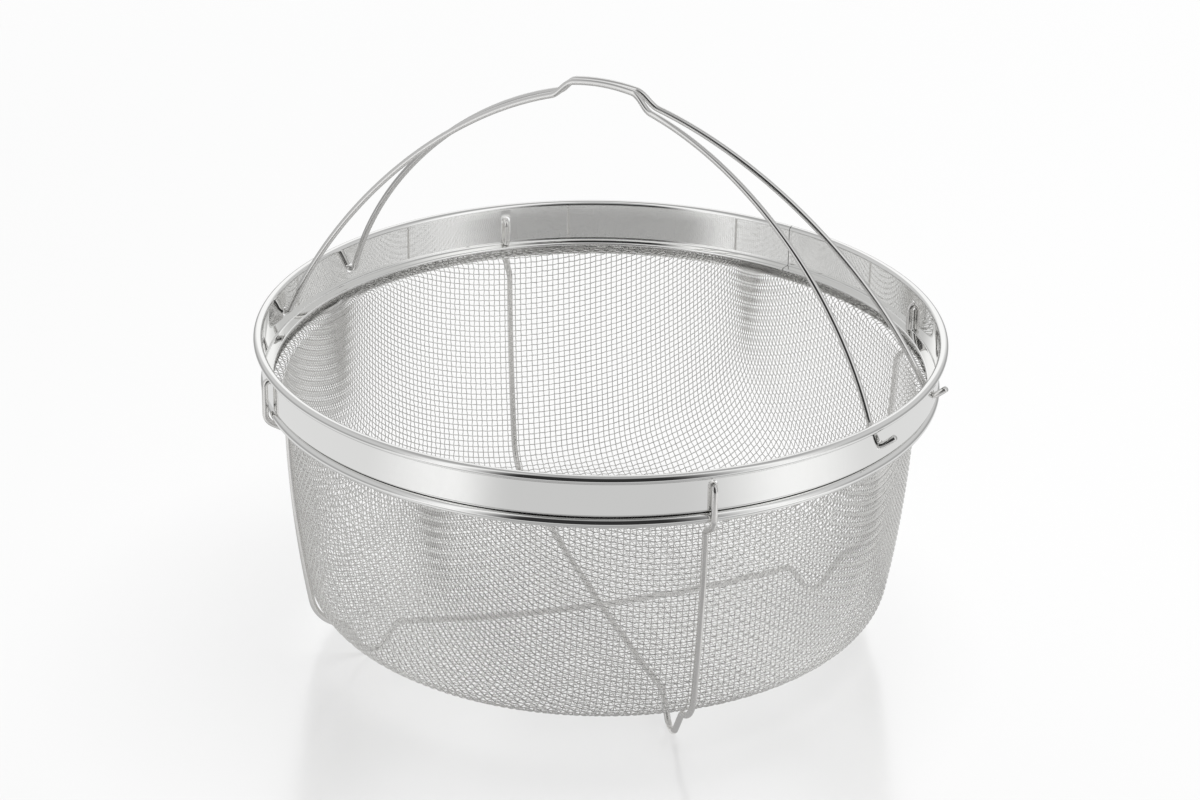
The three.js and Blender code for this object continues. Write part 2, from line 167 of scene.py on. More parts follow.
class BailSizes(PropertyGroup):
    """Sizes of the two bails"""

    wire: size("Wire", 2.0, "Diameter of the bail wires")
    offset: size("Offset", 21, "From the basket's middle to the hinge line")
    hole_drop: size("Hole drop", 7.5, "From the middle of the bead to the hinge line")
    height: size("Height", 93.45, "From the hinge line to the middle of the grip")
    grip_half: size("Half grip", 10.2, "Half the length of the raised grip")
    grip_crown: size("Grip crown", 60, "Radius of the grip's gentle arch")
    step_run: size("Step run", 7.3, "Length of the step beside the grip")
    step_drop: size("Step drop", 5.45, "Height of the step beside the grip")
    step_ease: size("Step ease", 3, "Softness of the step")
    side_slope: angle("Side slope", 17.8, "Slope where the side leaves the step")
    side_high_pull: size("Upper pull", 38.6, "Curve handle at the top of the side")
    side_low_pull: size("Lower pull", 41.6, "Curve handle at the foot of the side")
    hook_run: size("Hook run", 0.3, "Straight run to each side of the band")
    hook_radius: size("Hook radius", 2.0, "Bends of the hook")
    hook_rise: angle("Hook rise", 70, "Rise of the side inside the band")
    stub_rise: angle("Stub rise", 42, "Rise of the stub outside the band")
    stub_length: size("Stub length", 4.2, "Straight end of the wire outside the band")


class Finishes(PropertyGroup):
    """Colours and polish of the steel, and the floor"""

    band: colour("Band", (0.93, 0.93, 0.92), "Polished strip")
    band_rough: share("Band roughness", 0.012, "Roughness of the polished strip")
    seam: colour("Seam", (0.16, 0.16, 0.155), "Line where the ends of the strip meet")
    wire: colour("Wire", (0.86, 0.85, 0.835), "Drawn wire of the feet")
    wire_rough: share("Wire roughness", 0.24, "Roughness of the drawn wire")
    bail: colour("Bail", (0.8, 0.795, 0.785), "Polished wire of the bails")
    bail_rough: share("Bail roughness", 0.09, "Roughness of the polished wire")
    cloth: colour("Cloth", (0.89, 0.885, 0.87), "Woven wire")
    cloth_rough: share("Cloth roughness", 0.13, "Roughness of the woven wire")
    floor: colour("Floor", (0.27, 0.27, 0.27), "Pale floor, where the light falls on it")
    floor_glow: level("Floor glow", 0.53, "How white the floor is by itself")
    floor_sheen: share("Floor sheen", 0.27, "Share of the floor's white that is mirrored in front")
    floor_rough: share("Floor roughness", 0.18, "Roughness of the floor's gloss")
    floor_index: level("Floor index", 2.8, "Refractive index of the floor's gloss")
    gloss_ahead: size("Gloss ahead", 120, "From the axis to the middle of the glossy floor in front")
    gloss_near: size("Gloss near", 130, "From there to where the gloss begins to fade")
    gloss_far: size("Gloss far", 280, "From there to where the gloss has gone")
    floor_near: size("Floor near", 350, "From the axis to where the floor begins to fade")
    floor_far: size("Floor far", 1100, "From the axis to where the floor has gone")


class ViewSizes(PropertyGroup):
    """Where the camera stands, the strength of the light, and the tones of the glowing cards that paint the
    steel's reflections
    """

    turn: angle("Turn", 26.885, "Camera's turn round the basket from -Y")
    rise: angle("Rise", 24.73, "Camera's height angle")
    roll: angle("Roll", 0.854, "Camera's roll")
    distance: size("Distance", 1168, "From the camera to the point that it looks at")
    aim: size("Aim height", 80.9, "Height of that point")
    lens: level("Lens", 108.37, "Focal length in millimetres", "CAMERA")
    sensor: level("Sensor", 36.0, "Width of the sensor in millimetres", "CAMERA")
    ambient: level("Ambient", 0.15, "Level of the even light from all round")
    lamp: level("Lamp", 35.0, "Power of the lamp above and behind in watts", "POWER")
    lamp_size: size("Lamp size", 1500, "Diameter of the lamp")
    # Tones of the cards, which glow and which only the steel sees: painted reflections of a studio
    shade: share("Shade", 0.03, "Tone of the dark card that the steel reflects")
    table: share("Table", 0.61, "Tone of the table's front as the steel reflects it")
    # Near and Ring darken the reflected table round the basket: painted shade
    near: share("Near", 0.7, "Share of the table's tone close to the basket")
    ring: share("Ring", 0.6, "Share of the table's tone in a ring in front of the basket")
    side: share("Side", 0.75, "Tone of the table's sides and back as the steel reflects them")
    canopy: share("Canopy", 0.4, "Tone of the cards overhead")
    room: share("Room", 0.38, "Tone of the room round the table")
    screen: share("Screen", 1.0, "Tone of the bright screen behind")
    wing: share("Wing", 0.6, "Tone to both sides of the screen")


GROUPS = {
    "basket_band": BandSizes,
    "basket_bowl": BowlSizes,
    "basket_feet": FootSizes,
    "basket_bails": BailSizes,
    "basket_finish": Finishes,
    "basket_view": ViewSizes,
}


def polar(radius, turn):
    return np.array([radius * cos(turn), radius * sin(turn)])


def arc(centre, radius, start, end, steps):
    """Points on an arc, both ends included."""
    turns = np.linspace(start, end, steps + 1)
    return np.asarray(centre) + radius * np.column_stack([np.cos(turns), np.sin(turns)])


def bezier(a, b, c, d, steps):
    t = np.linspace(0.0, 1.0, steps + 1)[:, None]
    s = 1.0 - t
    return s**3 * a + 3 * s * s * t * b + 3 * s * t * t * c + t**3 * d


def layout(scene):
    """Heights, radii and circles that the pieces share."""
    band, bowl, foot, bail = scene.basket_band, scene.basket_bowl, scene.basket_feet, scene.basket_bails
    at = SimpleNamespace()
    cloth = at.cloth = bowl.thickness
    at.wall_top = bowl.foot_height + bowl.depth
    at.flange_low = at.wall_top + bowl.shoulder * (1 - sin(bowl.wall_lean))
    at.flange_high = at.flange_low + 2 * cloth
    at.lip = at.flange_low - band.clearance - band.sheet / 2
    at.leaf = at.flange_high + band.clearance + band.sheet / 2
    at.channel_bend = (at.leaf - at.lip) / 2
    at.channel_z = (at.leaf + at.lip) / 2
    at.fold_bend = (band.fold_gap + band.sheet) / 2
    at.fold_top = at.leaf + 2 * at.fold_bend
    at.bead_z = at.fold_top + band.band_height
    at.bead_radius = band.rim_radius - band.bead / 2
    at.band_radius = band.rim_radius - band.bead + band.sheet / 2
    at.channel_radius = at.band_radius + band.channel_proud - at.channel_bend
    at.foot_hole = at.bead_z - foot.hole_drop
    at.hinge = at.bead_z - bail.hole_drop
    at.hinge_half = sqrt(at.band_radius**2 - bail.offset**2)
    at.wall_radius = at.channel_radius - bowl.flange_width
    at.wall_centre = np.array([at.wall_radius, at.wall_top]) - polar(bowl.wall_bow, -bowl.wall_lean)
    corner_z = bowl.foot_height + bowl.corner * cos(bowl.floor_slope)
    reach = bowl.wall_bow - bowl.corner
    at.corner_turn = asin((corner_z - at.wall_centre[1]) / reach)
    at.corner_centre = at.wall_centre + polar(reach, at.corner_turn)
    at.floor_edge = at.corner_centre[0] + bowl.corner * sin(bowl.floor_slope)
    at.floor_bow = at.floor_edge / sin(bowl.floor_slope)
    at.floor_z = bowl.foot_height + at.floor_bow * cos(bowl.floor_slope)
    return at


def unit(vectors):
    return vectors / np.linalg.norm(vectors, axis=1)[:, None]


def path_ways(path):
    """Unit directions at the points of a path: into each point, and midway between in and out."""
    steps = unit(np.diff(path, axis=0))
    into = np.vstack([steps[:1], steps])
    return into, unit(into + np.vstack([steps, steps[-1:]]))


def grid_quads(rows, columns, round_rows=False, round_columns=False):
    """Faces between the neighbours in rows of points, which may close on themselves either way."""
    row, column = np.meshgrid(
        np.arange(rows if round_rows else rows - 1),
        np.arange(columns if round_columns else columns - 1),
        indexing="ij",
    )
    here, on = row * columns, (row + 1) % rows * columns
    after = (column + 1) % columns
    return np.stack([here + column, on + column, on + after, here + after], axis=-1).reshape(-1, 4)


def mesh_object(name, points, face_sets, bake_map=None):
    """A smooth-shaded mesh object from points and arrays of faces, one array for each number of corners."""
    mesh = bpy.data.meshes.new(name)
    corners = np.concatenate([faces.ravel() for faces in face_sets]).astype(np.int32)
    counts = np.concatenate([np.full(len(faces), faces.shape[1]) for faces in face_sets])
    mesh.vertices.add(len(points))
    mesh.vertices.foreach_set("co", np.asarray(points, np.float32).ravel())
    mesh.loops.add(len(corners))
    mesh.loops.foreach_set("vertex_index", corners)
    mesh.polygons.add(len(counts))
    mesh.polygons.foreach_set("loop_start", np.concatenate([[0], np.cumsum(counts)[:-1]]).astype(np.int32))
    if bake_map is not None:
        mesh.uv_layers.new(name="OFBake").data.foreach_set("uv", np.asarray(bake_map, np.float32).ravel())
    mesh.update(calc_edges=True)
    if mesh.validate():
        raise RuntimeError(f"{name} has faces that don't hold together")
    made = bpy.data.objects.new(name, mesh)
    bpy.context.scene.collection.objects.link(made)
    return made


def finish_piece(piece, material, slot, body, *nodes):
    """Gives a piece its finish, body and the CAD nodes that it stands for."""
    piece.data.materials.clear()
    piece.data.materials.append(material)
    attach(piece, body)
    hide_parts(*nodes)


def turned(outline, segments):
    """Points and faces of a closed outline of radius and height, turned round Z."""
    turns = np.linspace(0.0, 2 * pi, segments, endpoint=False)[:, None]
    radius, height = outline.T
    points = np.stack(np.broadcast_arrays(np.cos(turns) * radius, np.sin(turns) * radius, height), axis=-1)
    return points.reshape(-1, 3), grid_quads(segments, len(outline), round_rows=True, round_columns=True)


def strip_outline(path, thickness):
    """The closed outline of a strip of even thickness along a path."""
    into, along = path_ways(path)
    widen = 1.0 / np.sum(along * into, axis=1)
    offset = np.column_stack([-along[:, 1], along[:, 0]]) * (widen * thickness / 2)[:, None]
    return np.vstack([path + offset, (path - offset)[::-1]])


def wire_surface(centres, across, up, radii, sides):
    """Points of a round wire, the faces of its side and the faces of its two ends."""
    turns = np.linspace(0.0, 2 * pi, sides, endpoint=False)[None, :, None]
    ring = np.cos(turns) * across[:, None] + np.sin(turns) * up[:, None]
    points = (centres[:, None] + ring * radii[:, None, None]).reshape(-1, 3)
    quads = grid_quads(len(centres), sides, round_columns=True)[:, [0, 3, 2, 1]]
    side = np.arange(sides)
    return points, quads, np.vstack([side[::-1], (len(centres) - 1) * sides + side])


def round_wire(name, path, side_normal, diameter):
    """A wire along a path that lies in one plane, with lightly chamfered ends."""
    _, along = path_ways(path)
    radius = diameter / 2
    chamfer = END_CHAMFER * radius
    centres = np.vstack([path[:1] - along[:1] * chamfer, path, path[-1:] + along[-1:] * chamfer])
    along = np.vstack([along[:1], along, along[-1:]])
    radii = np.full(len(centres), radius)
    radii[[0, -1]] = radius - chamfer
    across = np.broadcast_to(side_normal, centres.shape)
    points, quads, ends = wire_surface(centres, across, np.cross(across, along), radii, WIRE_SIDES)
    wire = mesh_object(name, points, [quads, ends])
    wire.data.set_sharp_from_angle(angle=SHARP_WIRE)
    return wire


def feed(tree, node, feeds):
    """Gives a node's inputs, by name or number, a value or a link from another node's output."""
    for socket, source in feeds.items():
        if isinstance(source, bpy.types.NodeSocket):
            tree.links.new(source, node.inputs[socket])
        else:
            node.inputs[socket].default_value = source


def add_node(tree, kind, feeds, operation=None):
    """A new node with its operation and its inputs set."""
    node = tree.nodes.new(kind)
    if operation:
        node.operation = operation
    feed(tree, node, feeds)
    return node


def maths(tree, operation, *feeds):
    """The output of a new math node."""
    return add_node(tree, "ShaderNodeMath", dict(enumerate(feeds)), operation).outputs["Value"]


def mixed(tree, part, first, second):
    """The output of a new mix of two shaders, with that part of the second."""
    return add_node(tree, "ShaderNodeMixShader", {"Fac": part, 1: first, 2: second}).outputs["Shader"]


def object_place(tree):
    """Places in the object's own frame, for textures and masks."""
    return tree.nodes.new("ShaderNodeTexCoord").outputs["Object"]


def new_group(name, given, made):
    """A node group with the inputs and outputs that are given by name and kind."""
    group = bpy.data.node_groups.new(name, "ShaderNodeTree")
    for way, sockets in (("INPUT", given), ("OUTPUT", made)):
        for label, kind in sockets.items():
            group.interface.new_socket(label, in_out=way, socket_type=f"NodeSocket{kind}")
    return group


def steel_group():
    """Worked steel: slow clouds in tone and polish, and fine marks that can be drawn out along one way."""
    name = "Worked steel"
    if name in bpy.data.node_groups:
        return bpy.data.node_groups[name]
    group = new_group(
        name,
        {
            "Tint": "Color", "Polish": "Float", "Cloud Scale": "Float", "Cloud Tone": "Float",
            "Cloud Polish": "Float", "Mark Stretch": "Vector", "Mark Polish": "Float",
        },
        {"Color": "Color", "Roughness": "Float", "Height": "Float"},
    )
    given = group.nodes.new("NodeGroupInput").outputs
    place = object_place(group)
    spread = add_node(group, "ShaderNodeVectorMath", {0: place, 1: given["Mark Stretch"]}, "MULTIPLY")

    def noise(where, scale, detail):
        feeds = {"Vector": where, "Scale": scale, "Detail": detail}
        return add_node(group, "ShaderNodeTexNoise", feeds).outputs["Fac"]

    def centred(pattern, amount):
        """A value that swings by the amount to each side of nothing."""
        return maths(group, "MULTIPLY", maths(group, "SUBTRACT", pattern, 0.5), given[amount])

    clouds = noise(place, given["Cloud Scale"], 3.0)
    marks = noise(spread.outputs["Vector"], 1.0, 2.0)
    tone = maths(group, "ADD", 1.0, centred(clouds, "Cloud Tone"))
    shade = add_node(group, "ShaderNodeVectorMath", {0: given["Tint"], "Scale": tone}, "SCALE")
    rough = maths(group, "ADD", given["Polish"], centred(clouds, "Cloud Polish"))
    add_node(group, "NodeGroupOutput", {
        "Color": shade.outputs["Vector"],
        "Roughness": maths(group, "ADD", rough, centred(marks, "Mark Polish")),
        "Height": marks,
    })
    return group


def steel(name, tint, polish, bump, **values):
    """A steel finish; values are set on the shared group's inputs."""
    if name in bpy.data.materials:
        return bpy.data.materials[name]
    material = bpy.data.materials.new(name)
    material.use_nodes = True
    tree = material.node_tree
    work = tree.nodes.new("ShaderNodeGroup")
    work.node_tree = steel_group()
    labelled = {label.replace("_", " ").title(): value for label, value in values.items()}
    feed(tree, work, {"Tint": (*tint, 1.0), "Polish": polish, **labelled})
    height = work.outputs["Height"]
    relief = add_node(tree, "ShaderNodeBump", {"Strength": bump, "Distance": MARK_DEPTH, "Height": height})
    feed(tree, tree.nodes["Principled BSDF"], {
        "Metallic": 1.0,
        "Base Color": work.outputs["Color"],
        "Roughness": work.outputs["Roughness"],
        "Normal": relief.outputs["Normal"],
    })
    return material


def seam_group(scene):
    """A mask of the upright line along the seam, from the place on the band."""
    name = "Seam line"
    if name in bpy.data.node_groups:
        return bpy.data.node_groups[name]
    band = scene.basket_band
    group = new_group(name, {}, {"Mask": "Float"})
    place = object_place(group)

    def along(turn):
        """How far a place lies from the axis towards one side."""
        way = (cos(turn), sin(turn), 0.0)
        return add_node(group, "ShaderNodeVectorMath", {0: place, 1: way}, "DOT_PRODUCT").outputs["Value"]

    aside = maths(group, "ABSOLUTE", along(band.seam_turn + pi / 2))
    edges = {"From Min": band.seam_line / 2, "From Max": band.seam_line / 4}
    line = add_node(group, "ShaderNodeMapRange", {"Value": aside, **edges})
    near = maths(group, "GREATER_THAN", along(band.seam_turn), 0.0)
    add_node(group, "NodeGroupOutput", {"Mask": maths(group, "MULTIPLY", line.outputs["Result"], near)})
    return group


def band_steel(scene):
    """Polished strip: lines left by the polishing run round the band, and the seam is a darker line."""
    look = scene.basket_finish
    material = steel(
        "polished_strip", look.band, look.band_rough, bump=0.02,
        cloud_scale=22.0, cloud_tone=0.04, cloud_polish=0.01,
        mark_stretch=(40.0, 40.0, 5000.0), mark_polish=0.01,
    )
    tree = material.node_tree
    base = tree.nodes["Principled BSDF"].inputs["Base Color"]
    seam = tree.nodes.new("ShaderNodeGroup")
    seam.node_tree = seam_group(scene)
    darker = tree.nodes.new("ShaderNodeMix")
    darker.data_type = "RGBA"
    feed(tree, darker, {
        "Factor": seam.outputs["Mask"],
        MIX_FIRST: base.links[0].from_socket,
        MIX_SECOND: (*look.seam, 1.0),
    })
    tree.links.new(darker.outputs[MIX_RESULT], base)
    return material


def wire_steel(scene):
    """Drawn wire of the feet and of the bead's core, with faint marks."""
    look = scene.basket_finish
    return steel(
        "drawn_wire", look.wire, look.wire_rough, bump=0.12,
        cloud_scale=70.0, cloud_tone=0.12, cloud_polish=0.12,
        mark_stretch=(2500.0, 2500.0, 2500.0), mark_polish=0.1,
    )


def bail_steel(scene):
    """Polished wire of the bails, brighter and smoother than the feet."""
    look = scene.basket_finish
    return steel(
        "polished_wire", look.bail, look.bail_rough, bump=0.05,
        cloud_scale=60.0, cloud_tone=0.08, cloud_polish=0.05,
        mark_stretch=(2500.0, 2500.0, 2500.0), mark_polish=0.04,
    )


def cloth_steel(scene):
    """Woven wire, a little duller than the bails, with uneven tone from the pressing."""
    look = scene.basket_finish
    return steel(
        "woven_wire", look.cloth, look.cloth_rough, bump=0.1,
        cloud_scale=45.0, cloud_tone=0.16, cloud_polish=0.1,
        mark_stretch=(1600.0, 1600.0, 1600.0), mark_polish=0.12,
    )


def rim_path(scene, at):
    """The strip from the end of its curl, down the band and round the channel."""
    band = scene.basket_band
    curl = (band.bead - band.sheet) / 2
    fillet = np.array([at.band_radius - band.fold_fillet, at.fold_top + band.fold_fillet])
    fold = np.array([at.channel_radius - band.fold_width, at.leaf + at.fold_bend])
    channel = np.array([at.channel_radius, at.channel_z])
    return np.vstack([
        arc((at.bead_radius, at.bead_z), curl, pi - band.bead_wrap, pi, 30),
        arc(fillet, band.fold_fillet, 0.0, -pi / 2, 8),
        arc(fold, at.fold_bend, pi / 2, 1.5 * pi, 10),
        arc(channel, at.channel_bend, pi / 2, -pi / 2, 20),
        [[at.channel_radius - band.lip_width, at.lip]],
    ])


def rim_cutters(scene, at):
    """Round cutters for the wires' holes and a thin one for the seam, as one mesh."""
    band, foot, bail = scene.basket_band, scene.basket_feet, scene.basket_bails
    reach = (0.012, 0.0, 0.0)
    points, sides, round_ends = [], [], []

    def prism(section, middle, turn):
        """Adds a straight cutter along X, turned round Z, and gives the faces of its two ends."""
        count = len(section)
        first = sum(len(part) for part in points)
        ring = np.column_stack([np.zeros(count), section]) + middle
        points.append(np.vstack([ring - reach, ring + reach]) @ np.array(Matrix.Rotation(turn, 3, "Z")).T)
        side = np.arange(count)
        on = (side + 1) % count
        sides.append(first + np.column_stack([side, on, count + on, count + side]))
        return first + np.vstack([side[::-1], count + side])

    def drill(diameter, middle, turn):
        radius = diameter / 2 + band.hole_clearance
        circle = arc((0.0, 0.0), radius, 0.0, 2 * pi, HOLE_SIDES)[:-1]
        round_ends.append(prism(circle, middle, turn))

    for turn in (foot.turn, pi - foot.turn, pi + foot.turn, -foot.turn):
        drill(foot.wire, (at.band_radius, 0.0, at.foot_hole), turn)
    for x in (-at.hinge_half, at.hinge_half):
        for y in (-bail.offset, bail.offset):
            drill(bail.wire, (x, y, at.hinge), 0.0)
    corners = np.array([[-1, -1], [1, -1], [1, 1], [-1, 1]])
    slit = corners * (band.seam_gap / 2, at.bead_z)
    sides.append(prism(slit, (at.band_radius, 0.0, at.bead_z), band.seam_turn))
    return mesh_object("rim_cutters", np.vstack(points), [np.vstack(sides), np.vstack(round_ends)])


def cut_away(piece, cutter):
    """Takes the cutter out of a piece and deletes the cutter."""
    knife = piece.modifiers.new("holes", "BOOLEAN")
    knife.operation = "DIFFERENCE"
    knife.solver = "MANIFOLD"
    knife.object = cutter
    graph = bpy.context.evaluated_depsgraph_get()
    whole = piece.data
    piece.data = bpy.data.meshes.new_from_object(piece.evaluated_get(graph))
    piece.data.name = piece.name
    piece.modifiers.clear()
    bpy.data.meshes.remove(whole)
    spare = cutter.data
    bpy.data.objects.remove(cutter)
    bpy.data.meshes.remove(spare)


class BASKET_OT_rim(Operator):
    """Rolls the rim band from one strip, with its holes and seam, round its core wire"""

    bl_idname = "basket.rim"
    bl_label = "Rim band"

    def execute(self, context):
        scene = context.scene
        at = layout(scene)
        band = scene.basket_band
        outline = strip_outline(rim_path(scene, at), band.sheet)
        points, quads = turned(outline, BAND_SEGMENTS)
        rim = mesh_object("rim_strip", points, [quads[:, ::-1]])
        cut_away(rim, rim_cutters(scene, at))
        rim.data.shade_smooth()
        rim.data.set_sharp_from_angle(angle=SHARP_STRIP)
        finish_piece(rim, band_steel(scene), "band_steel", "basket", "rim_band")

        core = band.bead / 2 - band.sheet - band.clearance
        ring = arc((at.bead_radius, at.bead_z), core, 0.0, 2 * pi, 16)[:-1]
        points, quads = turned(ring, CORE_SEGMENTS)
        wire = mesh_object("bead_core", points, [quads])
        finish_piece(wire, wire_steel(scene), "core_steel", "basket", "rim_core_wire")
        return {"FINISHED"}


class ClothProfile:
    """The middle of the cloth from the centre of the floor outwards, by distance along it."""

    def __init__(self, scene, at):
        bowl, band = scene.basket_bowl, scene.basket_band
        half = at.cloth / 2
        lean = bowl.wall_lean
        shoulder = at.wall_centre + polar(bowl.wall_bow + bowl.shoulder, -lean)
        hem = np.array([at.channel_radius - at.cloth, at.flange_low + at.cloth])
        hem_end = at.channel_radius - bowl.hem * band.lip_width
        low, high = at.flange_low + half, at.flange_low + 3 * half
        self.runs = [
            ("arc", np.array([0.0, at.floor_z]), at.floor_bow - half, -pi / 2, bowl.floor_slope - pi / 2),
            ("arc", at.corner_centre, bowl.corner - half, bowl.floor_slope - pi / 2, at.corner_turn),
            ("arc", at.wall_centre, bowl.wall_bow - half, at.corner_turn, -lean),
            ("arc", shoulder, bowl.shoulder + half, pi - lean, pi / 2),
            ("line", np.array([shoulder[0], low]), np.array([hem[0], low])),
            ("arc", hem, half, -pi / 2, pi / 2),
            ("line", np.array([hem[0], high]), np.array([hem_end, high])),
        ]
        self.lengths = [
            run[2] * abs(run[4] - run[3]) if run[0] == "arc" else float(np.linalg.norm(run[2] - run[1]))
            for run in self.runs
        ]
        self.ends = np.cumsum(self.lengths)
        self.wall_end = self.ends[2]

    def bowl_point(self, s):
        """Radius, height and their slopes at one distance; past the wall's top the wall runs straight on."""
        run = 0 if s < self.ends[0] else 1 if s < self.ends[1] else 2
        _, centre, radius, start, _ = self.runs[run]
        begun = self.ends[run] - self.lengths[run]
        turn = start + (min(s, self.wall_end) - begun) / radius
        past = max(0.0, s - self.wall_end)
        slope = (-sin(turn), cos(turn))
        return (
            centre[0] + radius * cos(turn) + past * slope[0],
            centre[1] + radius * sin(turn) + past * slope[1],
            *slope,
        )

    def points(self, s):
        """Radii, heights and outward normals at many distances, round the shoulder and the hem too."""
        spot = np.empty((len(s), 2))
        normal = np.empty((len(s), 2))
        which = np.minimum(np.searchsorted(self.ends, s, side="right"), len(self.runs) - 1)
        for index, run in enumerate(self.runs):
            mine = which == index
            along = s[mine] - (self.ends[index] - self.lengths[index])
            if run[0] == "arc":
                _, centre, radius, start, end = run
                way = 1.0 if end > start else -1.0
                turn = start + way * along / radius
                out = np.column_stack([np.cos(turn), np.sin(turn)])
                spot[mine] = centre + radius * out
                normal[mine] = way * out
            else:
                step = (run[2] - run[1]) / self.lengths[index]
                spot[mine] = run[1] + along[:, None] * step
                normal[mine] = (step[1], -step[0])
        return spot, normal


def cloth_net(profile, pitch, count, limit):
    """A quarter of a net of unstretched wires laid on the bowl, as distances from its centre and turns.

    Its two straight edges run out from the centre. Each further crossing lies one pitch from two
    crossings before it, which is how woven cloth shears when it is pressed."""
    edge_tries, tries, close, least_slope = 8, 30, 1e-10, 0.2
    far = np.full((count, count), np.nan)
    turn = np.full((count, count), np.nan)
    spot = np.full((count, count, 3), np.nan)

    def place(s, f):
        """The point at a distance and turn, and how it moves with each of them, in two columns."""
        r, z, dr, dz = profile.bowl_point(s)
        c, n = cos(f), sin(f)
        return np.array([r * c, r * n, z]), np.array([[dr * c, -r * n], [dr * n, r * c], [dz, 0.0]])

    s = 0.0
    for i in range(count):
        far[i, 0] = far[0, i] = s
        turn[i, 0], turn[0, i] = 0.0, pi / 2
        spot[i, 0], spot[0, i] = place(s, 0.0)[0], place(s, pi / 2)[0]
        r0, z0, _, _ = profile.bowl_point(s)
        step = pitch
        for _ in range(edge_tries):
            r1, z1, dr, dz = profile.bowl_point(s + step)
            gap = hypot(r1 - r0, z1 - z0)
            slope = ((r1 - r0) * dr + (z1 - z0) * dz) / gap
            step -= (gap - pitch) / max(least_slope, slope)
        s += step

    for i in range(1, count):
        for j in range(1, i + 1):
            before = spot[[i - 1, i], [j, j - 1]]
            if np.isnan(before).any() or min(far[i - 1, j], far[i, j - 1]) > limit:
                continue
            x, y, _ = before[0] + before[1] - spot[i - 1, j - 1]
            s, f = far[i - 1, j] + far[i, j - 1] - far[i - 1, j - 1], atan2(y, x)
            for _ in range(tries):
                point, moves = place(s, f)
                gaps = point - before
                miss = np.linalg.norm(gaps, axis=1) - pitch
                if np.abs(miss).sum() < close:
                    break
                s, f = (s, f) - np.linalg.solve(unit(gaps) @ moves, miss)
            else:
                raise RuntimeError("the cloth doesn't settle on the bowl")
            far[i, j] = far[j, i] = s
            turn[i, j], turn[j, i] = f, pi / 2 - f
            spot[i, j], spot[j, i] = point, point[[1, 0, 2]]
    return far, turn


def cloth_grid(scene, profile):
    """Flattened places of all the crossings: distance from the centre drawn out along the turn."""
    bowl = scene.basket_bowl
    spare_crossings, margin = 6, 4 * bowl.pitch
    count = int(profile.ends[-1] / bowl.pitch) + spare_crossings
    far, turn = cloth_net(profile, bowl.pitch, count, profile.ends[-1] + margin)
    i, j = np.meshgrid(np.arange(count), np.arange(count), indexing="ij")
    bias = np.arctan2(j, i)
    give = bowl.give * np.sin(2 * bias) ** 2
    far = (1 - give) * far + give * bowl.pitch * np.hypot(i, j)
    turn = (1 - give) * turn + give * bias
    grid = np.full((2 * count - 1, 2 * count - 1, 2), np.nan)
    for quarter, (c, s) in enumerate(((1, 0), (0, 1), (-1, 0), (0, -1))):
        around = turn + quarter * pi / 2 + bowl.cloth_turn
        rows, columns = count - 1 + c * i - s * j, count - 1 + s * i + c * j
        grid[rows, columns] = np.stack([far * np.cos(around), far * np.sin(around)], axis=-1)
    return grid


def woven_wire(flat, parity, profile, wire):
    """Centre line and surface normals of one wire that passes over and under its neighbours. It bends at a
    share of the pitch before and after each crossing."""
    bend = 0.22
    index = np.arange(len(flat))
    spots = np.sort(np.concatenate([index - bend, index + bend]))
    spots = spots[(spots >= 0) & (spots <= index[-1])]
    u = np.interp(spots, index, flat[:, 0])
    v = np.interp(spots, index, flat[:, 1])
    s, around = np.hypot(u, v), np.arctan2(v, u)
    inside = s <= profile.ends[-1]
    s, around, spots = s[inside], around[inside], spots[inside]
    place, out = profile.points(s)
    c, n = np.cos(around), np.sin(around)
    middle = np.column_stack([place[:, 0] * c, place[:, 0] * n, place[:, 1]])
    normal = np.column_stack([out[:, 0] * c, out[:, 0] * n, out[:, 1]])
    over = np.where((np.rint(spots).astype(int) + parity) % 2 == 0, 0.5, -0.5) * wire
    return middle + normal * over[:, None], normal


def cloth_wires(flats, shift, profile, bowl):
    """Centre lines and normals of one set of wires, without the short ones cut off at the edge."""
    fewest_crossings, fewest_points = 6, 9
    reach = profile.ends[-1] + 2 * bowl.pitch
    wires = []
    for row, flat in enumerate(flats):
        spots = np.flatnonzero(np.isfinite(flat[:, 0]) & (np.hypot(flat[:, 0], flat[:, 1]) <= reach))
        if len(spots) < fewest_crossings:
            continue
        first, last = spots[0], spots[-1]
        path, normal = woven_wire(flat[first:last + 1], row + first + shift, profile, bowl.wire)
        if len(path) >= fewest_points:
            wires.append((path, normal))
    return wires


def cloth_piece(name, wires, diameter, sides):
    """One mesh of many woven wires, each with its own row in the bake map."""
    margin = 0.1
    points, quads, ends, quad_map, end_map = [], [], [], [], []
    base = 0
    for row, (path, normal) in enumerate(wires):
        count = len(path)
        along = unit(np.gradient(path, axis=0))
        up = unit(normal - along * np.sum(normal * along, axis=1)[:, None])
        radii = np.full(count, diameter / 2)
        rings, walls, caps = wire_surface(path, np.cross(along, up), up, radii, sides)
        points.append(rings)
        quads.append(base + walls)
        ends.append(base + caps)
        step, side = np.divmod(walls[:, :1], sides)
        u = (step + (0, 0, 1, 1)) / count
        v = (row + margin + (1 - 2 * margin) * (side + (0, 1, 1, 0)) / sides) / len(wires)
        quad_map.append(np.stack([u, v], axis=-1).reshape(-1, 2))
        cap_u = np.repeat([0.0, (count - 1) / count], sides)
        end_map.append(np.column_stack([cap_u, np.full(2 * sides, (row + 0.5) / len(wires))]))
        base += len(rings)
    bake_map = np.vstack(quad_map + end_map)
    return mesh_object(name, np.vstack(points), [np.vstack(quads), np.vstack(ends)], bake_map)


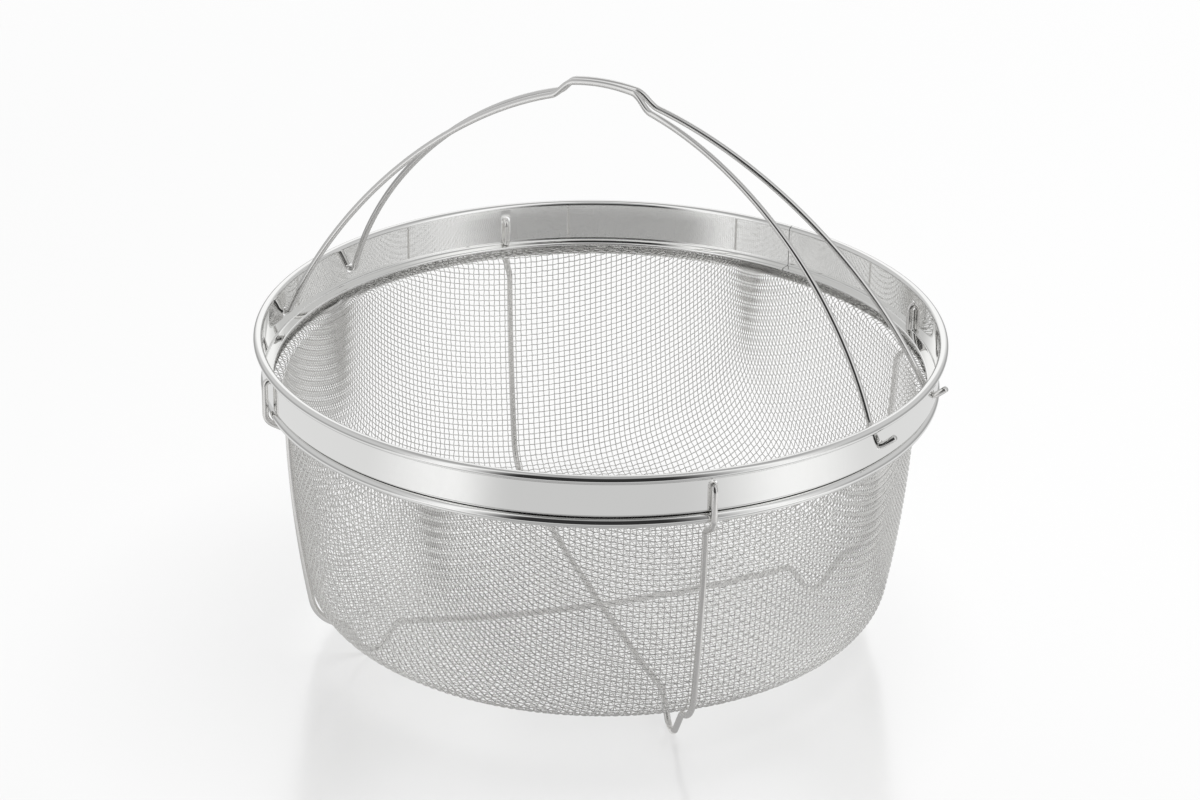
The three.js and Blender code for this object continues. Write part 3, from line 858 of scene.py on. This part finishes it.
class BASKET_OT_cloth(Operator):
    """Weaves the bowl from two sets of wires that shear as the cloth is pressed to shape"""

    bl_idname = "basket.cloth"
    bl_label = "Woven bowl"

    def execute(self, context):
        scene = context.scene
        bowl = scene.basket_bowl
        profile = ClothProfile(scene, layout(scene))
        grid = cloth_grid(scene, profile)
        finish = cloth_steel(scene)
        for name, shift, flats in (("warp", 0, grid), ("weft", 1, np.swapaxes(grid, 0, 1))):
            wires = cloth_wires(flats, shift, profile, bowl)
            ends = [index * len(wires) // CLOTH_PIECES for index in range(CLOTH_PIECES + 1)]
            for index in range(CLOTH_PIECES):
                part = wires[ends[index]:ends[index + 1]]
                cloth = cloth_piece(f"cloth_{name}_{index + 1}", part, bowl.wire, bowl.tube_sides)
                finish_piece(cloth, finish, "mesh_steel", "basket", "mesh_bowl")
        return {"FINISHED"}


def foot_half(scene, at, dip):
    """Half of a foot wire, from its hook inside the band to the middle of the floor."""
    band, bowl, foot = scene.basket_band, scene.basket_bowl, scene.basket_feet
    off = band.clearance + foot.wire / 2
    inside = at.band_radius - band.sheet / 2 - off
    outside = at.channel_radius + at.channel_bend + band.sheet / 2 + off
    turn = (outside - inside) / 2
    hook_end = at.fold_top + band.sheet / 2 + foot.hook_end_gap

    jog = arc((outside - foot.jog_radius, at.channel_z), foot.jog_radius, 0.0, -foot.jog_turn, 10)
    wall_reach = bowl.wall_bow + off + foot.wall_bend
    depth = foot.wall_bend + (jog[-1] - at.wall_centre) @ polar(1.0, -foot.jog_turn)
    wall_turn = acos(depth / wall_reach) - foot.jog_turn
    wall_bend = at.wall_centre + polar(wall_reach, wall_turn)

    corner = arc(at.corner_centre, bowl.corner + off, at.corner_turn, -foot.corner_turn, 14)
    knee_centre = corner[-1] + polar(foot.bend, -foot.corner_turn)
    rise = pi / 2 + foot.slope
    knee = arc(knee_centre, foot.bend, pi - foot.corner_turn, rise, 8)

    tip_z = foot.wire / 2 + foot.tip
    tip_half = foot.tip * sin(foot.slope)
    side_low = tip_z - foot.tip * cos(foot.slope)
    tip_radius = knee[-1][0] - (knee[-1][1] - side_low) / tan(foot.slope) - tip_half
    side_end = np.array([tip_radius - tip_half, side_low])

    near = at.floor_z - sqrt((at.floor_bow + off) ** 2 - side_end[0] ** 2)
    low = at.floor_z - at.floor_bow - off - dip
    sag = near - low
    run_radius = (side_end[0] ** 2 + sag**2) / (2 * sag)
    run_reach = run_radius + foot.bend
    depth = foot.bend + (side_end - (0.0, low + run_radius)) @ polar(1.0, -rise)
    run_turn = acos(depth / run_reach) - rise
    run_bend = polar(run_reach, run_turn) + (0.0, low + run_radius)

    return np.vstack([
        [[inside, hook_end]],
        arc((inside + turn, at.foot_hole - turn), turn, pi, 0.0, 20),
        jog,
        arc(wall_bend, foot.wall_bend, pi - foot.jog_turn, pi + wall_turn, 8),
        arc(at.wall_centre, bowl.wall_bow + off, wall_turn, at.corner_turn, 12)[1:-1],
        corner,
        knee[1:],
        arc((tip_radius, tip_z), foot.tip, foot.slope - pi / 2, -rise, 20),
        arc(run_bend, foot.bend, pi / 2 - foot.slope, pi + run_turn, 8),
        arc((0.0, low + run_radius), run_radius, run_turn, -pi / 2, 10)[1:],
    ])


def stood_up(half, turn):
    """A flat half and its mirror image as one upright path, turned round Z, with its plane's normal."""
    flat = np.vstack([half, (half * (-1.0, 1.0))[-2::-1]])
    path = np.column_stack([flat[:, 0], np.zeros(len(flat)), flat[:, 1]])
    spin = np.array(Matrix.Rotation(turn, 3, "Z"))
    return path @ spin.T, spin @ (0.0, 1.0, 0.0)


class BASKET_OT_feet(Operator):
    """Bends the two wires that hook into the band, make the four feet and cross under the floor"""

    bl_idname = "basket.feet"
    bl_label = "Foot wires"

    def execute(self, context):
        scene = context.scene
        at = layout(scene)
        foot, band = scene.basket_feet, scene.basket_band
        crossing = foot.wire + band.clearance
        for name, dip, turn in (("upper", 0.0, -foot.turn), ("lower", crossing, foot.turn)):
            path, side = stood_up(foot_half(scene, at, dip), turn)
            wire = round_wire(f"foot_{name}", path, side, foot.wire)
            finish_piece(wire, wire_steel(scene), "wire_steel", "basket", f"foot_wire_{name}")
        return {"FINISHED"}


def bail_half(scene, at):
    """Half of a bail, from its stub outside the band to the middle of its grip."""
    bail = scene.basket_bails
    radius = bail.hook_radius
    stub = arc((at.hinge_half + bail.hook_run, radius), radius, bail.stub_rise - pi / 2, -pi / 2, 10)
    stub_end = stub[0] + polar(bail.stub_length, bail.stub_rise)
    hook = arc((at.hinge_half - bail.hook_run, radius), radius, -pi / 2, -pi / 2 - bail.hook_rise, 12)
    low = hook[-1]
    crown_drop = bail.grip_crown - sqrt(bail.grip_crown**2 - bail.grip_half**2)
    crown_slope = asin(bail.grip_half / bail.grip_crown)
    grip_end = np.array([bail.grip_half, bail.height - crown_drop])
    high = grip_end + (bail.step_run, -bail.step_drop)
    outward = polar(1.0, -bail.side_slope)
    low_handle = low + polar(bail.side_low_pull, pi - bail.hook_rise)
    side = bezier(low, low_handle, high + bail.side_high_pull * outward, high, 60)
    grip_handle = grip_end + polar(bail.step_ease, -crown_slope)
    step = bezier(high, high - bail.step_ease * outward, grip_handle, grip_end, 24)
    crown = arc((0.0, bail.height - bail.grip_crown), bail.grip_crown, pi / 2 - crown_slope, pi / 2, 8)
    return np.vstack([[stub_end], stub, hook, side[1:], step[1:], crown[1:]])


class BASKET_OT_bails(Operator):
    """Bends the two bails and leans them together over the basket"""

    bl_idname = "basket.bails"
    bl_label = "Bails"

    def execute(self, context):
        scene = context.scene
        at = layout(scene)
        bail, band = scene.basket_bails, scene.basket_band
        flat, _ = stood_up(bail_half(scene, at), 0.0)
        lean = asin((bail.offset - bail.wire / 2 - band.clearance / 2) / bail.height)
        for name, way in (("front", -1.0), ("rear", 1.0)):
            tilt = np.array(Matrix.Rotation(way * lean, 3, "X"))
            path = flat @ tilt.T + (0.0, way * bail.offset, at.hinge)
            wire = round_wire(f"bail_wire_{name}", path, tilt @ (0.0, 1.0, 0.0), bail.wire)
            finish_piece(wire, bail_steel(scene), "wire_steel", f"{name}_bail", f"bail_{name}")
        return {"FINISHED"}


def background_rays(tree):
    """A mask of the rays that see the background: straight, mirrored and passed through."""
    rays = tree.nodes.new("ShaderNodeLightPath").outputs
    seen = maths(tree, "MAXIMUM", rays["Is Camera Ray"], rays["Is Glossy Ray"])
    return maths(tree, "MAXIMUM", seen, rays["Is Transmission Ray"])


def floor_material(scene):
    """Pale floor, half lit and half white by itself. It is glossy in front of the basket, plain and just as
    white elsewhere, and fades out far away."""
    look = scene.basket_finish
    material = bpy.data.materials.new("pale_floor")
    material.use_nodes = True
    tree = material.node_tree
    rays, place = background_rays(tree), object_place(tree)
    glossy = tree.nodes["Principled BSDF"]
    plain = tree.nodes.new("ShaderNodeBsdfPrincipled")
    clear = tree.nodes.new("ShaderNodeBsdfTransparent")
    dull = [(1 - look.floor_sheen) * part for part in look.floor]
    for shader, tint, white, mirror in (
        (glossy, look.floor, look.floor_glow, 0.5),
        (plain, dull, look.floor_glow + look.floor_sheen, 0.0),
    ):
        feed(tree, shader, {
            "Base Color": (*tint, 1.0),
            "Roughness": look.floor_rough,
            "IOR": look.floor_index,
            "Specular IOR Level": mirror,
            "Emission Color": WHITE,
            "Emission Strength": maths(tree, "MULTIPLY", rays, white),
        })
    ahead = Matrix.Rotation(scene.basket_view.turn, 3, "Z") @ Vector((0.0, -look.gloss_ahead, 0.0))
    surface = glossy.outputs["BSDF"]
    for beyond, centre, near, far in (
        (plain, ahead, look.gloss_near, look.gloss_far),
        (clear, (0.0, 0.0, 0.0), look.floor_near, look.floor_far),
    ):
        away = add_node(tree, "ShaderNodeVectorMath", {0: place, 1: centre}, "DISTANCE")
        fade = tree.nodes.new("ShaderNodeMapRange")
        fade.interpolation_type = "SMOOTHSTEP"
        feed(tree, fade, {"Value": away.outputs["Value"], "From Min": near, "From Max": far})
        surface = mixed(tree, fade.outputs["Result"], surface, beyond.outputs["BSDF"])
    feed(tree, tree.nodes["Material Output"], {"Surface": surface})
    return material


def card_material():
    """Glow, at their tone, of the cards that paint the steel's reflections, clear towards their sides and
    from behind.
    """
    material = bpy.data.materials.new("studio_cards")
    material.use_nodes = True
    tree = material.node_tree
    tree.nodes.remove(tree.nodes["Principled BSDF"])

    def held(name):
        """A value that the mesh holds at its points."""
        node = tree.nodes.new("ShaderNodeAttribute")
        node.attribute_name = name
        return node.outputs["Fac"]

    glow = add_node(tree, "ShaderNodeEmission", {"Strength": held("tone")})
    behind = tree.nodes.new("ShaderNodeNewGeometry").outputs["Backfacing"]
    faced = maths(tree, "SUBTRACT", held("cover"), behind)
    faced.node.use_clamp = True
    clear = tree.nodes.new("ShaderNodeBsdfTransparent")
    surface = mixed(tree, faced, clear.outputs["BSDF"], glow.outputs["Emission"])
    feed(tree, tree.nodes["Material Output"], {"Surface": surface})
    return material


def card_sheet(strips, columns):
    """A bent sheet round the basket: places, tones, covers and faces. Each strip has its reach to the left
    and the right and how far in from there it is still partly clear, all in degrees, and its bends: distance,
    height, tone and, where it differs, the tone at the sides."""
    left_most, right_most = (max(span[way] for span, _ in strips) for way in (0, 1))
    turn = np.linspace(-left_most, right_most, columns + 1)
    spin = np.radians(turn)
    ring = np.column_stack([np.sin(spin), -np.cos(spin), np.zeros(columns + 1)])
    aside = np.clip((np.abs(turn) - WING_START) / WING_FADE, 0.0, 1.0)
    points, tones, covers = [], [], []
    for (left, right, left_edge, right_edge), bends in strips:
        fade = np.clip(np.minimum((turn + left) / left_edge, (right - turn) / right_edge), 0.0, 1.0)
        for bend in bends:
            points.append(ring * bend[0] + (0.0, 0.0, bend[1]))
            tones.append(bend[2] + (bend[-1] - bend[2]) * aside)
            covers.append(fade * fade * (3 - 2 * fade))
    quads = grid_quads(len(points), columns + 1)
    return np.vstack(points), np.concatenate(tones), np.concatenate(covers), quads


def studio_cards(scene):
    """Two bent sheets that only the steel sees, glowing with the tones on their mesh: painted reflections of
    a studio. In front are the table, with painted shade close to the basket and in a darker ring on it, a
    dark card behind it and a grey one above; round the back are the room, with painted shade close to the
    basket, and a bright screen."""
    view = scene.basket_view
    narrow, wide, most_way = (42, 55, 21, 37), (60, 74, 27, 36), (124, 134, 29, 24)
    # Painted shade: the reflected table is darker close to the basket and in a ring round it
    near, ring = view.near * view.table, view.ring * view.table
    front = card_sheet((
        (narrow, ((0.005, 0.002, near), (0.165, 0.002, near))),
        (wide, ((0.18, 0.002, ring), (0.225, 0.002, ring))),
        (narrow, (
            (0.24, 0.002, view.table), (0.355, 0.002, view.table),
            (0.37, 0.004, view.shade), (0.385, 0.28, view.shade), (0.36, 0.43, view.shade),
            (0.33, 0.50, view.canopy), (0.2, 0.62, view.canopy), (0.02, 0.66, view.canopy),
        )),
    ), columns=80)
    # Painted shade: the reflected sides are darker close to the basket
    near, horizon = view.near * view.side, 1.2 * view.room
    back = card_sheet(((most_way, (
        (0.005, 0.003, near), (0.165, 0.003, near), (0.18, 0.003, view.side), (0.3, 0.003, view.side),
        (0.35, 0.004, view.room), (2.9, 0.02, view.room), (2.9, 0.106, horizon),
        (2.9, 0.67, view.screen, view.wing), (2.85, 2.5, view.screen, view.wing),
        (1.9, 3.4, view.canopy), (0.02, 3.7, view.canopy),
    )),), columns=90)
    back[0][:, :2] *= -1
    points = np.vstack([front[0], back[0]])
    cards = mesh_object("studio_cards", points, [np.vstack([front[3], back[3] + len(front[0])])])
    for name, part in (("tone", 1), ("cover", 2)):
        held = cards.data.attributes.new(name, "FLOAT", "POINT")
        held.data.foreach_set("value", np.concatenate([front[part], back[part]]).astype(np.float32))
    cards.data.materials.append(card_material())
    cards.visible_camera = False
    cards.visible_diffuse = False
    cards.visible_transmission = False
    cards.visible_shadow = False
    return cards


def white_world(scene):
    """An even pale world that shows as white to the camera and in the steel."""
    world = bpy.data.worlds.new("pale_studio")
    scene.world = world
    world.use_nodes = True
    tree = world.node_tree
    tree.nodes.clear()
    light, white = (
        add_node(tree, "ShaderNodeBackground", {"Color": WHITE, "Strength": strength}).outputs["Background"]
        for strength in (scene.basket_view.ambient, 1.0)
    )
    surface = mixed(tree, background_rays(tree), light, white)
    add_node(tree, "ShaderNodeOutputWorld", {"Surface": surface})


def add_lamp(scene, spin):
    """A round soft lamp above and behind, which the steel doesn't mirror."""
    lamp = bpy.data.lights.new("back_light", "AREA")
    lamp.shape = "DISK"
    lamp.size = scene.basket_view.lamp_size
    lamp.energy = scene.basket_view.lamp
    light = bpy.data.objects.new("back_light", lamp)
    place = spin @ Vector(LAMP_PLACE)
    light.location = place
    light.visible_glossy = False
    light.rotation_euler = (Vector(LAMP_AIM) - place).to_track_quat("-Z", "Y").to_euler()
    scene.collection.objects.link(light)


def add_camera(scene, spin):
    """The camera, as it was fitted to the photograph."""
    view = scene.basket_view
    eye = bpy.data.cameras.new("camera")
    eye.sensor_width = view.sensor
    eye.lens = view.lens
    camera = bpy.data.objects.new("camera", eye)
    aim = Vector((0.0, 0.0, view.aim))
    back = Vector((0.0, -cos(view.rise), sin(view.rise)))
    place = aim + spin @ (back * view.distance)
    turn = (aim - place).to_track_quat("-Z", "Y").to_matrix().to_4x4()
    camera.matrix_world = Matrix.Translation(place) @ turn @ Matrix.Rotation(view.roll, 4, "Z")
    scene.collection.objects.link(camera)
    scene.camera = camera


class BASKET_OT_stage(Operator):
    """Sets up the floor, the soft light, the cards and the camera"""

    bl_idname = "basket.stage"
    bl_label = "Stage"

    def execute(self, context):
        scene = context.scene
        scene.view_settings.view_transform = "Standard"
        white_world(scene)

        corners = FLOOR_HALF * np.array([[-1, -1, 0], [1, -1, 0], [1, 1, 0], [-1, 1, 0]])
        floor = mesh_object("floor", corners, [np.array([[0, 1, 2, 3]])])
        floor.data.materials.append(floor_material(scene))

        spin = Matrix.Rotation(scene.basket_view.turn, 4, "Z")
        cards = studio_cards(scene)
        cards.matrix_world = spin
        add_lamp(scene, spin)
        add_camera(scene, spin)
        return {"FINISHED"}


OPERATORS = (BASKET_OT_rim, BASKET_OT_cloth, BASKET_OT_feet, BASKET_OT_bails, BASKET_OT_stage)


class BASKET_PT_panel(Panel):
    """Lists the basket's pieces in the sidebar"""

    bl_idname = "BASKET_PT_panel"
    bl_label = "Draining basket"
    bl_space_type = "VIEW_3D"
    bl_region_type = "UI"
    bl_category = "Basket"

    def draw(self, context):
        for operator in OPERATORS:
            self.layout.operator(operator.bl_idname)
        for name in GROUPS:
            group = getattr(context.scene, name)
            box = self.layout.box()
            box.label(text=group.bl_rna.description)
            for prop in group.__annotations__:
                box.prop(group, prop)


def register():
    for name, group in GROUPS.items():
        bpy.utils.register_class(group)
        setattr(bpy.types.Scene, name, PointerProperty(type=group))
    for kind in (*OPERATORS, BASKET_PT_panel):
        bpy.utils.register_class(kind)


def unregister():
    for kind in (BASKET_PT_panel, *reversed(OPERATORS)):
        bpy.utils.unregister_class(kind)
    for name, group in reversed(GROUPS.items()):
        delattr(bpy.types.Scene, name)
        bpy.utils.unregister_class(group)


def main():
    register()
    bpy.ops.basket.rim()
    bpy.ops.basket.cloth()
    bpy.ops.basket.feet()
    bpy.ops.basket.bails()
    bpy.ops.basket.stage()


if __name__ == "__main__":
    main()
